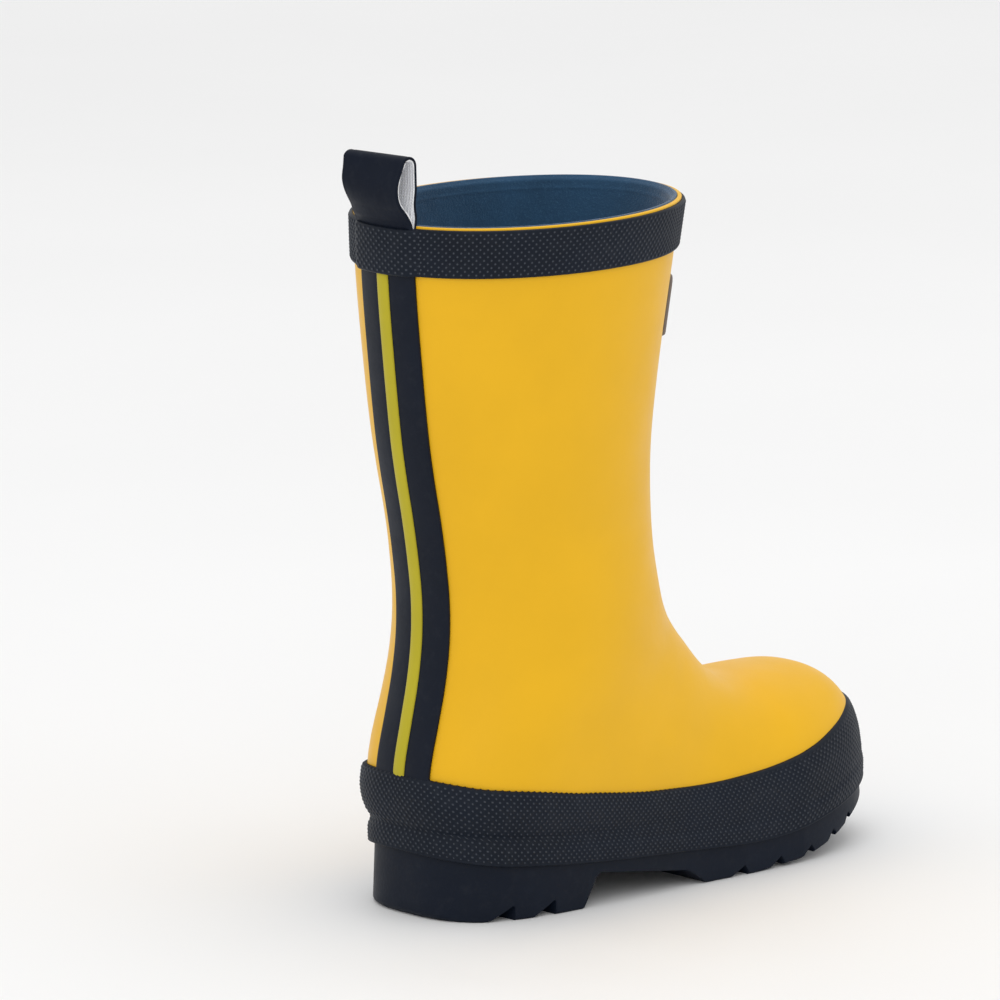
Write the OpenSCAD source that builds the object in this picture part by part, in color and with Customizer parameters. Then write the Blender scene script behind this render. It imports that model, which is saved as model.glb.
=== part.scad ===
// Rubber rain boot, right foot, child's size.
// X runs from the heel to the toe, Y to the inner side of the foot, Z up from the ground.

/* [Shaft] */
// Height of the rim above the ground
rim_z = 203.8; // [200:0.1:208]
// Thickness of the rubber shell
shell_t = 2; // [1.6:0.1:2.2]
// Thickness of the textile lining
lining_t = 1.2; // [0.8:0.1:1.4]

/* [Top binding] */
// Distance from the rim down to the binding's top edge
binding_drop = 0.6; // [0.4:0.1:3]
// Height of the textured band below the rim
binding_h = 13.8; // [12:0.1:16]
// Thickness of the textured band
binding_t = 1.45; // [1:0.05:1.8]

/* [Pull loop] */
// Width of the strap across the back of the boot
strap_w = 22; // [18:0.5:24]
// Thickness of the strap's rubber face
strap_face_t = 0.8; // [0.7:0.05:0.9]
// Thickness of the strap's woven backing
strap_web_t = 0.6; // [0.5:0.05:0.65]
// Height from the strap's foot to the centre of its round top
loop_h = 15.4; // [14:0.1:16]
// Outer radius of the round top
loop_r = 2.9; // [2.8:0.1:3.4]
// Width of the anchor patch over the strap's ends
patch_w = 27; // [25:0.5:30]
// Thickness of the anchor patch
patch_t = 1.3; // [1:0.1:1.6]

/* [Back stay] */
// Width of the stripe down the back
stay_w = 22; // [18:0.5:24]
// Thickness of the stripe
stay_t = 1; // [0.8:0.1:1.2]
// Width of the raised strip along its middle
piping_w = 4.4; // [3:0.2:6]
// Thickness of the raised strip
piping_t = 0.9; // [0.6:0.1:1.2]

/* [Front badge] */
// Width of the badge round the front of the shaft
badge_w = 46; // [24:1:48]
// Height of the badge
badge_h = 18; // [12:1:20]
// Thickness of the badge
badge_t = 1; // [0.8:0.1:1.6]

/* [Sole] */
// Thickness of the textured band round the foot
rand_t = 1.6; // [1.6:0.1:2.2]
// Extra thickness of the bead near the band's lower edge
bead_t = 0.6; // [0.4:0.1:1]
// Height of the notches across the heel
heel_notch_h = 4.6; // [3:0.1:5]
// Height of the first notch between the forefoot lugs
lug_notch_h = 3; // [2:0.2:3.4]
// Length from the first forefoot lug to the second, which shortens towards the toe
lug_pitch = 17.3; // [17:0.1:17.5]
// Thickness of the insole board
board_t = 1.6; // [1.2:0.1:1.8]

/* [Hidden] */

gap = 0.05;              // glue line between bonded layers
ring_tip = 0.005;        // small step between rings, for the surface's normals
ankle = [135, 100];      // axis that the rings fan round, in front of the ankle
toe_x = 180;             // foremost point of the shell
toe_z = 26;              // height of that point
ring_points = 40;
rand_points = 64;

// Side view: the back line and the front line of the shaft as [z, x],
// the top line and the underside of the foot as [x, z].
back_line = [[0, 2], [15, 0.5], [30, 2.2], [44, 3.8], [57, 6.7], [69, 9.3], [81, 10.8], [93, 10.8],
    [105, 9.4], [117, 7.4], [129, 5], [141, 3], [165, 0.2], [186, -1.8], [205, -2.6], [225, -3.2]];
front_line = [[60, 97.5], [80, 95.5], [93, 93.7], [105, 92], [129, 90.8], [153, 93], [186, 98.7],
    [205, 102.4], [225, 106.3]];
vamp_line = [[60, 61], [100, 58], [120, 54], [135, 53.5], [150, 53.3], [165, 53.6], [180, 51.5]];
underside = [[0, 20], [30, 18], [60, 14.5], [90, 11.5], [120, 11], [150, 12.5], [180, 17]];

// Half widths: of the shaft by height, of the fanned rings by their angle.
shaft_half = [[100, 33], [110, 33], [129, 34.4], [153, 36.6], [186, 39], [205, 40], [225, 41]];
fan_half = [[0, 33], [15, 33.4], [30, 33], [45, 31.2], [60, 29.8], [75, 31.2], [90, 32.6]];
ball_half = 32.6;

// How each ring is shaped: where it is widest, and how square it is above and below.
widest_at = [[0, 0.5], [1, 0.5], [1.3, 0.54], [1.5, 0.66], [2, 0.72], [3, 0.6]];
square_above = [[0, 2.05], [1, 2.1], [1.5, 2.2], [2, 2.3], [3, 2.3]];
square_below = [[0, 2.05], [1, 2.1], [1.2, 2.2], [1.34, 2.9], [1.44, 3.8], [2, 3.6], [3, 2.8]];

// Edges of the textured band round the foot, and the height where the foot is widest.
rand_top_line = [[-4, 43.2], [5, 41.6], [12, 40.1], [18, 39.3], [25, 38.4], [33, 37.1], [43, 35.3],
    [52, 34], [62, 32.4], [72, 31.1], [83, 30.2], [93, 29.5], [103, 29.3], [112, 29.7],
    [122, 30.4], [132, 31.8], [143, 34.2], [155, 37.7], [167, 41], [182, 42.5]];
rand_low_line = [[-4, 22], [3, 20.6], [8, 18.7], [19, 16.6], [30, 15.5], [48, 13.8], [76, 11.8],
    [105, 9.9], [116, 9.6], [127, 10], [134, 11], [146, 13.4], [157, 15.8], [184, 21.5]];
widest_line = [[-2, 27], [10, 26], [30, 24], [60, 22], [110, 22], [150, 24], [180, 26]];

// Underside of the outsole in front of the heel.
heel_front = 47.3;
breast_top = [53.5, 10];
arch_end = [89.5, 5.1];
first_lug = 96.5;
lug_count = 6;
lug_rise = 1.6;
tread_line = [[80, 0], [115, 0], [127, 0.8], [134, 1.4], [140, 2.5], [150, 5.4], [160, 9.3],
    [172, 13], [184, 16]];

// ---- smooth curves through a table's points

function slope(p, i) =
    let (a = max(i - 1, 0), b = min(i + 1, len(p) - 1)) (p[b][1] - p[a][1]) / (p[b][0] - p[a][0]);

function curve(p, at) =
    let (
        n = len(p),
        t = min(max(at, p[0][0]), p[n - 1][0]),
        i = min(n - 2, max([for (k = [0:n - 1]) if (t >= p[k][0]) k])),
        h = p[i + 1][0] - p[i][0],
        s = (t - p[i][0]) / h,
        r = 1 - s
    )
    (1 + 2 * s) * r * r * p[i][1] + s * r * r * h * slope(p, i)
        + s * s * (3 - 2 * s) * p[i + 1][1] - s * s * r * h * slope(p, i + 1);

function mix(a, b, t) = a + (b - a) * t;
function clamp(t) = min(max(t, 0), 1);
function ramp(a, b, t) = let (s = clamp((t - a) / (b - a))) s * s * (3 - 2 * s);
function unit(p) = p / norm(p);
function flat(rows) = [for (row = rows) each row];
function steps(a, b, n) = [for (i = [0:n]) a + (b - a) * i / n];

// ---- the boot's surface: rings v = 0 at the rim, 1 at the ankle, 2 at the ball, 3 at the toe

// Distance from the ankle axis to a corner rounded between an upright and a level line.
function corner(up, level, c, s, round_by, a = 60, b = 60, left = 12) =
    left == 0
        ? pow(pow(a, -round_by) + pow(b, -round_by), -1 / round_by)
        : corner(up, level, c, s, round_by,
            (ankle.x - curve(up, ankle.y - min(a, 400) * s)) / c,
            (ankle.y - curve(level, ankle.x - min(b, 400) * c)) / s,
            left - 1);

function fan_point(up, level, turn, round_by) =
    let (c = max(cos(turn), 0.000001), s = max(sin(turn), 0.000001),
        r = corner(up, level, c, s, round_by))
    [ankle.x - r * c, ankle.y - r * s];

function shaft_z(v) = mix(rim_z, ankle.y, v);
function foot_x(v) = mix(ankle.x, toe_x, sin(90 * clamp(v - 2)));
function toe_share(x) = clamp((x - ankle.x) / (toe_x - ankle.x));
function toe_round(x, p) = pow(1 - pow(toe_share(x), p), 1 / p);
function foot_top(x) = mix(toe_z, curve(vamp_line, x), toe_round(x, 3.2));
function foot_under(x) = mix(toe_z, curve(underside, x), toe_round(x, 3));

// Front or top point of a ring, and its back or bottom point, as [x, z].
function front_point(v) =
    v < 1 ? [curve(front_line, shaft_z(v)), shaft_z(v)]
    : v < 2 ? fan_point(front_line, vamp_line, 90 * (v - 1), 2.2)
    : [foot_x(v), foot_top(foot_x(v))];
function back_point(v) =
    v < 1 ? [curve(back_line, shaft_z(v)), shaft_z(v)]
    : v < 2 ? fan_point(back_line, underside, 90 * (v - 1), 12)
    : [foot_x(v), foot_under(foot_x(v))];
function half_width(v) =
    v < 1 ? curve(shaft_half, shaft_z(v))
    : v < 2 ? curve(fan_half, 90 * (v - 1))
    : ball_half * toe_round(foot_x(v), 2.3);

// The forefoot swings to the inner side of the foot.
function swing(x) = 6 * pow(clamp((x - 80) / 100), 2);

function on_surface(v, turn) =
    let (
        f = front_point(v),
        g = back_point(v),
        c = cos(turn),
        s = sin(turn),
        p = c > 0 ? curve(square_above, v) : curve(square_below, v),
        wide = curve(widest_at, v),
        k = pow(abs(c), 2 / p),
        h = c > 0 ? wide * (1 - k) : wide + (1 - wide) * k,
        q = mix(f, g, h)
    )
    [q.x, half_width(v) * pow(abs(s), 2 / p) * sign(s) + swing(q.x), q.y];

function outward(v, turn) =
    unit(cross(
        on_surface(v + ring_tip, turn) - on_surface(v - ring_tip, turn),
        on_surface(v, turn + 1) - on_surface(v, turn - 1)
    ));

// A point at a height d off the surface; d below zero is inside the boot.
function off_surface(v, turn, d) = on_surface(v, turn) + d * outward(v, turn);

function v_at(z) = (rim_z - z) / (rim_z - ankle.y);
// Angle on ring v of the point y away from the middle of the back (or of the front).
function back_turn(v, y) =
    180 - sign(y) * asin(pow(abs(y) / half_width(v), curve(square_below, v) / 2));
function front_turn(v, y) = sign(y) * asin(pow(abs(y) / half_width(v), curve(square_above, v) / 2));

// ---- solids between two grids of points

function cells(n, m, base, flip) = [
    for (i = [0:n - 2], j = [0:m - 2])
        each let (a = base + i * m + j, b = a + 1, c = a + m + 1, d = a + m)
            flip ? [[a, c, b], [a, d, c]] : [[a, b, c], [a, c, d]]
];
function hoops(n, m, base, flip) = [
    for (i = [0:n - 2], j = [0:m - 1])
        each let (a = base + i * m + j, b = base + i * m + (j + 1) % m, c = b + m, d = a + m)
            flip ? [[a, c, b], [a, d, c]] : [[a, b, c], [a, c, d]]
];
function strip(loop_a, loop_b) = [
    for (k = [0:len(loop_a) - 2])
        each [[loop_a[k], loop_a[k + 1], loop_b[k + 1]], [loop_a[k], loop_b[k + 1], loop_b[k]]]
];

// The surface's X starts at the heel; the part's origin is in the middle of its length.
middle_x = 86.64; // halfway between the back of the pull loop and the front of the toe
module place() {
    translate([-middle_x, 0, 0]) children();
}

// Sheet between two grids that end at four free edges.
module sheet(outer, inner) {
    n = len(outer);
    m = len(outer[0]);
    near = concat(
        [for (j = [0:m - 1]) j],
        [for (i = [1:n - 1]) i * m + m - 1],
        [for (j = [m - 2:-1:0]) (n - 1) * m + j],
        [for (i = [n - 2:-1:0]) i * m]
    );
    far = [for (k = near) k + n * m];
    place() polyhedron(
        points = concat(flat(outer), flat(inner)),
        faces = concat(cells(n, m, 0, false), cells(n, m, n * m, true), strip(far, near))
    );
}

// Band between two grids whose rows close on themselves.
module band(outer, inner) {
    n = len(outer);
    m = len(outer[0]);
    first = [for (j = [0:m]) j % m];
    last = [for (k = first) k + (n - 1) * m];
    place() polyhedron(
        points = concat(flat(outer), flat(inner)),
        faces = concat(
            hoops(n, m, 0, false),
            hoops(n, m, n * m, true),
            strip([for (k = first) k + n * m], first),
            strip(last, [for (k = last) k + n * m])
        )
    );
}

// Sock: rings that close at a pole at the far end.
module sock(outer, inner, outer_pole, inner_pole) {
    n = len(outer);
    m = len(outer[0]);
    first = [for (j = [0:m]) j % m];
    pole = 2 * n * m;
    place() polyhedron(
        points = concat(flat(outer), flat(inner), [outer_pole, inner_pole]),
        faces = concat(
            hoops(n, m, 0, false),
            hoops(n, m, n * m, true),
            strip([for (k = first) k + n * m], first),
            [for (j = [0:m - 1]) [(n - 1) * m + j, (n - 1) * m + (j + 1) % m, pole]],
            [for (j = [0:m - 1]) [n * m + (n - 1) * m + (j + 1) % m, n * m + (n - 1) * m + j, pole + 1]]
        )
    );
}

// ---- depths of the layers inside the shell

rings = concat(steps(0, 1, 9), [for (v = steps(1, 2, 13)) if (v > 1) v],
    [for (v = steps(2, 3, 9)) if (v > 2 && v < 2.95) v], [2.95]);
turns = [for (j = [0:ring_points - 1]) 360 * j / ring_points];

lining_top = 0.01;       // ring where the lining starts, just under the rim
stiffener_t = 0.8;

// Space between shell and lining: nothing in the shaft, the stiffeners at heel and toe,
// and the insole board under the foot.
function under_foot(v, turn) = ramp(1.32, 1.39, v) * ramp(0.15, 0.65, -cos(turn));
function lining_depth(v, turn) =
    shell_t + gap + ramp(1, 1.12, v) * (stiffener_t + 0.2) + under_foot(v, turn) * (board_t - 0.6);
function footbed_depth(v, turn) = lining_depth(v, turn) + lining_t + 0.3;

// Layers against the shell use its own rings and angles, so that their facets stay parallel.
function rings_between(lo, hi) = [for (v = rings) if (v >= lo && v <= hi) v];
function turns_between(lo, hi) = [for (a = [lo:360 / ring_points:hi]) a];
function grid(vs, angles, depth) = [for (v = vs) [for (a = angles) off_surface(v, a, depth)]];

module upper_shell() {
    color("goldenrod")
        sock(
            grid(rings, turns, 0),
            grid(rings, turns, -shell_t),
            [toe_x, swing(toe_x), toe_z],
            [toe_x - shell_t, swing(toe_x), toe_z]
        );
}

module lining_sock() {
    vs = [for (v = rings) max(v, lining_top)];
    pole_x = toe_x - lining_depth(2.95, 0);
    color("midnightblue")
        sock(
            [for (v = vs) [for (a = turns) off_surface(v, a, -lining_depth(v, a))]],
            [for (v = vs) [for (a = turns) off_surface(v, a, -lining_depth(v, a) - lining_t)]],
            [pole_x, swing(toe_x), toe_z],
            [pole_x - lining_t, swing(toe_x), toe_z]
        );
}

// ---- trim on the shaft

binding_top = rim_z - binding_drop;
binding_low = binding_top - binding_h;
binding_rows = [for (z = steps(binding_top, binding_low, 2)) v_at(z)];
tab_t = 2;

// Turns of a strip of width w at the back of ring v.
function across_back(v, w, n) = [for (y = steps(w / 2, -w / 2, n)) back_turn(v, y)];
function across_front(v, w, n) = [for (y = steps(-w / 2, w / 2, n)) front_turn(v, y)];
function back_strip(vs, w, n, d) = [for (v = vs) [for (a = across_back(v, w, n)) off_surface(v, a, d)]];
function front_strip(vs, w, n, d) = [for (v = vs) [for (a = across_front(v, w, n)) off_surface(v, a, d)]];

// The band stops at the two sides of the anchor patch.
function binding_turns(v) =
    let (edge = 180 - back_turn(v, patch_w / 2 + 0.2))
    steps(-180 + edge, 180 - edge, 80);
function binding_grid(d) = [for (v = binding_rows) [for (a = binding_turns(v)) off_surface(v, a, d)]];

module top_binding() {
    color("#262a36") sheet(binding_grid(gap + binding_t), binding_grid(gap));
}

module loop_anchor_patch() {
    low = gap * 2 + tab_t;
    color("#262a36")
        sheet(
            back_strip(binding_rows, patch_w, 12, low + patch_t),
            back_strip(binding_rows, patch_w, 12, low)
        );
}

// Ends of the strap, held between the shell and the anchor patch.
tab_rows = [for (z = steps(rim_z - 0.4, binding_low + 3, 2)) v_at(z)];
module loop_tabs() {
    color("#20252f")
        sheet(back_strip(tab_rows, strap_w, 12, gap + tab_t), back_strip(tab_rows, strap_w, 12, gap));
}

// ---- pull loop: arcs round a foot, a front, a top and a back, joined by tangent lines in the side view

strap_t = strap_face_t + strap_web_t;
hinge_x = back_point(0).x - gap - tab_t / 2;
hinge_z = rim_z + strap_t + 0.5;

// Each circle of the loop is [x, z, radius], anticlockwise from the foot.
loop_circles =
    [[0, 0, strap_t], [-9, 0.57 * loop_h, 11.3], [-0.8, loop_h, loop_r], [3.4, 0.57 * loop_h, 9.4]];

// Direction of the outer tangent's normal, from one circle on to the next.
function tangent(a, b) = atan2(b.y - a.y, b.x - a.x) - acos((a.z - b.z) / norm([b.x - a.x, b.y - a.y]));
function after(from, to) = to < from ? after(from, to + 360) : to;
function loop_outline(inset) = [
    for (i = [0:3])
        let (
            k = loop_circles[i],
            from = tangent(loop_circles[(i + 3) % 4], k),
            to = after(from, tangent(k, loop_circles[(i + 1) % 4])),
            r = k.z - inset
        )
        each [for (a = steps(from, to, 10)) [k.x + r * cos(a), k.y + r * sin(a)]]
];

module loop_slab(inset, w) {
    place()
        translate([hinge_x, 0, hinge_z])
            rotate([90, 0, 0])
                linear_extrude(w, center = true) polygon(loop_outline(inset));
}

module pull_loop() {
    color("#20252f")
        difference() {
            loop_slab(0, strap_w);
            loop_slab(strap_face_t, strap_w + 2);
        }
}

module pull_loop_backing() {
    color("lightgray")
        difference() {
            loop_slab(strap_face_t + 0.02, strap_w - 0.6);
            loop_slab(strap_t - 0.1, strap_w + 2);
        }
}

// ---- stripe down the back, and the badge

stay_top = binding_low - 0.2;
stay_low = 42.3;
function stay_v(z) = z > ankle.y ? v_at(z) : 1 + atan2(ankle.y - z, ankle.x - curve(back_line, z)) / 90;
stay_ends = [stay_v(stay_top), stay_v(stay_low)];
stay_rows = concat(stay_ends[0], rings_between(stay_ends[0] + 0.01, stay_ends[1] - 0.01), stay_ends[1]);

module back_stay() {
    color("#20262f")
        sheet(back_strip(stay_rows, stay_w, 12, gap + stay_t), back_strip(stay_rows, stay_w, 12, gap));
}

module back_stay_piping() {
    low = gap * 2 + stay_t;
    color("#b4b228")
        sheet(
            back_strip(stay_rows, piping_w, 2, low + piping_t),
            back_strip(stay_rows, piping_w, 2, low)
        );
}

badge_top = binding_low - 9;
module front_badge() {
    ends = [v_at(badge_top), v_at(badge_top - badge_h)];
    vs = concat(ends[0], rings_between(ends[0] + 0.01, ends[1] - 0.01), ends[1]);
    color("#786e64")
        sheet(front_strip(vs, badge_w, 16, gap + badge_t), front_strip(vs, badge_w, 16, gap));
}

// ---- stiffeners and insole, between shell and lining and on top of the lining

module toe_puff() {
    vs = rings_between(2.4, 2.9);
    angles = turns_between(-81, 81);
    color("dimgray")
        sheet(grid(vs, angles, -shell_t - gap), grid(vs, angles, -shell_t - gap - stiffener_t));
}

module heel_counter() {
    vs = rings_between(1.14, 1.33);
    angles = turns_between(108, 252);
    color("dimgray")
        sheet(grid(vs, angles, -shell_t - gap), grid(vs, angles, -shell_t - gap - stiffener_t));
}

board_rows = rings_between(1.38, 2.8);
module insole_board() {
    angles = turns_between(135, 225);
    color("burlywood")
        sheet(grid(board_rows, angles, -shell_t - gap), grid(board_rows, angles, -shell_t - gap - board_t));
}

foam_t = 3;
cover_t = 0.8;
function footbed_grid(extra) =
    [for (v = board_rows) [for (a = turns_between(144, 216)) off_surface(v, a, -footbed_depth(v, a) - extra)]];
module footbed_foam() {
    color("slategray") sheet(footbed_grid(0), footbed_grid(foam_t));
}
module footbed_cover() {
    color("navy") sheet(footbed_grid(foam_t + gap), footbed_grid(foam_t + gap + cover_t));
}

// ---- band round the foot

// Ring through a point of the side view, and how far along the ring the point lies.
function ring_through(x, z) =
    x >= ankle.x ? 2 + asin(toe_share(x)) / 90 : 1 + atan2(ankle.y - z, ankle.x - x) / 90;
function along_ring(v, x, z) =
    let (f = front_point(v), g = back_point(v)) ([x, z] - f) * (g - f) / ((g - f) * (g - f));

// Half width of the boot at a point of its side view.
function width_at(x, z) =
    let (
        v = ring_through(x, z),
        h = along_ring(v, x, z),
        wide = curve(widest_at, v),
        q = clamp(h < wide ? (wide - h) / wide : (h - wide) / (1 - wide)),
        p = h < wide ? curve(square_above, v) : curve(square_below, v)
    )
    half_width(v) * pow(1 - pow(q, p), 1 / p);

// Height of row t of the band at x, and the height on the shell that it follows.
function rand_z(x, t) = mix(curve(rand_low_line, x), curve(rand_top_line, x), t);
function follow_z(x, t) = max(rand_z(x, t), curve(widest_line, x));
function in_heel(x, z) = along_ring(ring_through(x, z), x, z) < 1;
function in_toe(x, z) = z < foot_top(x) && z > foot_under(x);
function row_back(t, a = -8, b = 30, left = 16) =
    let (x = (a + b) / 2)
    left == 0 ? x
    : in_heel(x, follow_z(x, t)) ? row_back(t, a, x, left - 1)
    : row_back(t, x, b, left - 1);
function row_front(t, a = 150, b = toe_x, left = 16) =
    let (x = (a + b) / 2)
    left == 0 ? x
    : in_toe(x, follow_z(x, t)) ? row_front(t, x, b, left - 1)
    : row_front(t, a, x, left - 1);

function row_point(lo, hi, t, turn) =
    let (x = mix(lo, hi, (1 - cos(turn)) / 2))
    [x, -sign(sin(turn)) * width_at(x, follow_z(x, t)) + swing(x), rand_z(x, t)];
function row_offset(lo, hi, t, turn, d) =
    let (
        step = row_point(lo, hi, t, turn + 1.5) - row_point(lo, hi, t, turn - 1.5),
        side = unit([step.y, -step.x, 0])
    )
    row_point(lo, hi, t, turn) + d * side;
function rand_row(t, d) =
    let (lo = row_back(t), hi = row_front(t))
    [for (j = [0:rand_points - 1]) row_offset(lo, hi, t, 360 * (j + 0.5) / rand_points, d)];

rand_rows = [1, 0.78, 0.56, 0.34, 0.22, 0.1, 0];
function bead(t) = bead_t * ramp(0.42, 0.2, t) * (1 - 0.5 * ramp(0.06, 0, t));
strip_t = 0.5;             // filler behind the band's lower part
skin_gap = 0.3;
flange_out = 1.1;
flange_gap = 0.16;        // between the band's lower edge and the outsole's flange
function rand_face(t) =
    skin_gap + rand_t * mix(0.55, 1, ramp(1, 0.56, t)) + strip_t * ramp(0.56, 0.3, t) + bead(t);

module rand() {
    color("#262a36")
        band(
            [for (t = rand_rows) rand_row(t, rand_face(t))],
            [for (t = rand_rows) rand_row(t, skin_gap + strip_t * ramp(0.56, 0.3, t))]
        );
}

// Filler strip behind the band, round the edge of the outsole.
module rand_edge_strip() {
    rows = [0.3, 0.2, 0.1, 0];
    color("#303540")
        band([for (t = rows) rand_row(t, skin_gap + strip_t - gap)], [for (t = rows) rand_row(t, skin_gap)]);
}

// ---- outsole: its outline seen from above, cut by its profile seen from the side

function seen_from_above(row) = [for (p = row) [p.x, p.y]];
core_outline = seen_from_above(rand_row(0, skin_gap - gap));
flange_outline = seen_from_above(rand_row(0, flange_out));
inner_outline = seen_from_above(rand_row(0, -1));
top_stations = [for (v = rings) if (v > 1.45 && v < 2.8) v];
sole_seat = [for (v = top_stations) back_point(v) - [0, 0.12]];
sole_top = concat(
    [[-12, sole_seat[0].y]], sole_seat, [[toe_x + 8, sole_seat[len(sole_seat) - 1].y + 0.5]]
);

function tread(x) = max(0, curve(tread_line, x));
function lug_start(k) = first_lug + lug_pitch * (k - 0.054 * k * k);
function lug_end(k) = mix(lug_start(k), lug_start(k + 1), 0.54);
function on_tread(x) = [x, tread(x)];
function heel_notch(x) = [[x, 0], [x, heel_notch_h], [x - 8, 0]];
heel_notches = [23.4, 37.1];

bottom_profile = concat(
    [[toe_x + 8, tread(toe_x)], on_tread(173), on_tread(166)],
    [for (k = [lug_count - 2:-1:0])
        each let (a = lug_start(k), b = lug_end(k), c = lug_start(k + 1))
            [on_tread(c), on_tread(c) + [-lug_rise, lug_notch_h * (1 - 0.09 * k)],
             on_tread(b), on_tread((a + b) / 2)]],
    [[first_lug, 0], arch_end, breast_top, [heel_front, 0]],
    heel_notch(heel_notches[1]),
    heel_notch(heel_notches[0]),
    [[-12, 0]]
);
core_profile = concat(sole_top, bottom_profile);
above_sole = concat(sole_top, [[toe_x + 8, 50], [-12, 50]]);
// Below the band the outsole is wider, and the band's edge rests on it.
flange_profile = concat(
    [for (x = steps(-12, toe_x + 8, 30)) [x, curve(rand_low_line, x) - flange_gap]],
    bottom_profile
);

filler_low = 7;
filler_top = 16;
module heel_core(inset, low, high) {
    r = 9;
    ends = [11 + inset, 45 - inset];
    half = 19 - inset;
    corners = [[ends[0], -half, 180], [ends[1], -half, 270], [ends[1], half, 0], [ends[0], half, 90]];
    place()
        translate([0, 0, low])
            linear_extrude(high - low)
                polygon([
                    for (k = corners)
                        each let (x = k[0] == ends[0] ? k[0] + r : k[0] - r, y = k[1] - sign(k[1]) * r)
                            [for (a = steps(k[2], k[2] + 90, 6)) [x + r * cos(a), y + r * sin(a)]]
                ]);
}

module sole_slab(outline, profile) {
    intersection() {
        linear_extrude(60) polygon(outline);
        rotate([90, 0, 0]) linear_extrude(120, center = true) polygon(profile);
    }
}

module outsole() {
    color("#232d3c")
        difference() {
            place() {
                sole_slab(core_outline, core_profile);
                difference() {
                    sole_slab(flange_outline, flange_profile);
                    sole_slab(inner_outline, above_sole);
                }
            }
            heel_core(0, filler_low, 40);
        }
}

module heel_filler() {
    color("gray") heel_core(gap, filler_low, filler_top);
}

upper_shell();
lining_sock();
top_binding();
loop_anchor_patch();
pull_loop();
pull_loop_backing();
loop_tabs();
back_stay();
back_stay_piping();
front_badge();
rand();
rand_edge_strip();
outsole();
heel_filler();
insole_board();
footbed_foam();
footbed_cover();
toe_puff();
heel_counter();
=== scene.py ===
import math

import bmesh
import bpy
import numpy as np
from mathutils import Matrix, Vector


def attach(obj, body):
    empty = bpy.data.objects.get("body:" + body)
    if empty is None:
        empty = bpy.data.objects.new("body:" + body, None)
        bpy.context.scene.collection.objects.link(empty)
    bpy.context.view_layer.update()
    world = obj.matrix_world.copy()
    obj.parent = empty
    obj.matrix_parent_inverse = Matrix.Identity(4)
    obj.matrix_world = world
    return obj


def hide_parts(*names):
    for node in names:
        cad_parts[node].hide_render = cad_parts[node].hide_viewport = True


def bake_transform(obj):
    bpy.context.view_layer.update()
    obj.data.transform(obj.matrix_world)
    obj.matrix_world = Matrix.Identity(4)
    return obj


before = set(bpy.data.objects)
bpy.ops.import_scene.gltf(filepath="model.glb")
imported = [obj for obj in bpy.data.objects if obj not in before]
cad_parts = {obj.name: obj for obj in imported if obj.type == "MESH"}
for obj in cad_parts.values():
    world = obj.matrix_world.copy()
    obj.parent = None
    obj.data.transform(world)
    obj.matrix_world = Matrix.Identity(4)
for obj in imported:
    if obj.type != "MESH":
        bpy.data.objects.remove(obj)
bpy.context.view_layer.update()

MM = 0.001

# ---------------------------------------------------------------- camera, floor and light

AIM = Vector((-0.02664, 0.0, 0.096))
AZIMUTH, ELEVATION, DISTANCE = math.radians(-43), math.radians(11.7), 3.0
LENS, SENSOR = 371.5, 36
SHIFT_X, SHIFT_Y = -0.044, 0.063
FLOOR_HALF = 14.0
WORLD_GREY = 0.925


def add_camera():
    data = bpy.data.cameras.new("camera")
    data.lens = LENS
    data.sensor_width = SENSOR
    data.shift_x, data.shift_y = SHIFT_X, SHIFT_Y
    data.dof.use_dof = False
    camera = bpy.data.objects.new("camera", data)
    back = Vector((math.sin(AZIMUTH) * math.cos(ELEVATION),
                   -math.cos(AZIMUTH) * math.cos(ELEVATION), math.sin(ELEVATION)))
    camera.location = AIM + back * DISTANCE
    camera.rotation_euler = back.to_track_quat("Z", "Y").to_euler()
    bpy.context.scene.collection.objects.link(camera)
    bpy.context.scene.camera = camera


def add_area(name, place, size, watts):
    data = bpy.data.lights.new(name, "AREA")
    data.shape = "RECTANGLE"
    data.size, data.size_y = size
    data.energy = watts
    light = bpy.data.objects.new(name, data)
    light.location = place
    light.rotation_euler = (Vector(place) - AIM).to_track_quat("Z", "Y").to_euler()
    bpy.context.scene.collection.objects.link(light)


def add_studio():
    bpy.context.scene.view_settings.view_transform = "Standard"
    world = bpy.data.worlds.new("studio")
    world.use_nodes = True
    background = world.node_tree.nodes["Background"]
    background.inputs["Color"].default_value = (WORLD_GREY, WORLD_GREY, WORLD_GREY, 1)
    background.inputs["Strength"].default_value = 1.0
    bpy.context.scene.world = world
    add_area("key", (-1.5, -1.3, 1.3), (1.4, 1.0), 4.5)
    add_area("top", (0.15, -0.1, 1.8), (1.2, 1.2), 6.0)
    mesh = bpy.data.meshes.new("floor")
    r = FLOOR_HALF
    mesh.from_pydata([(-r, -r, 0), (r, -r, 0), (r, r, 0), (-r, r, 0)], [], [(0, 1, 2, 3)])
    floor = bpy.data.objects.new("floor", mesh)
    bpy.context.scene.collection.objects.link(floor)
    floor.data.materials.append(floor_material())


# ---------------------------------------------------------------- materials


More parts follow.
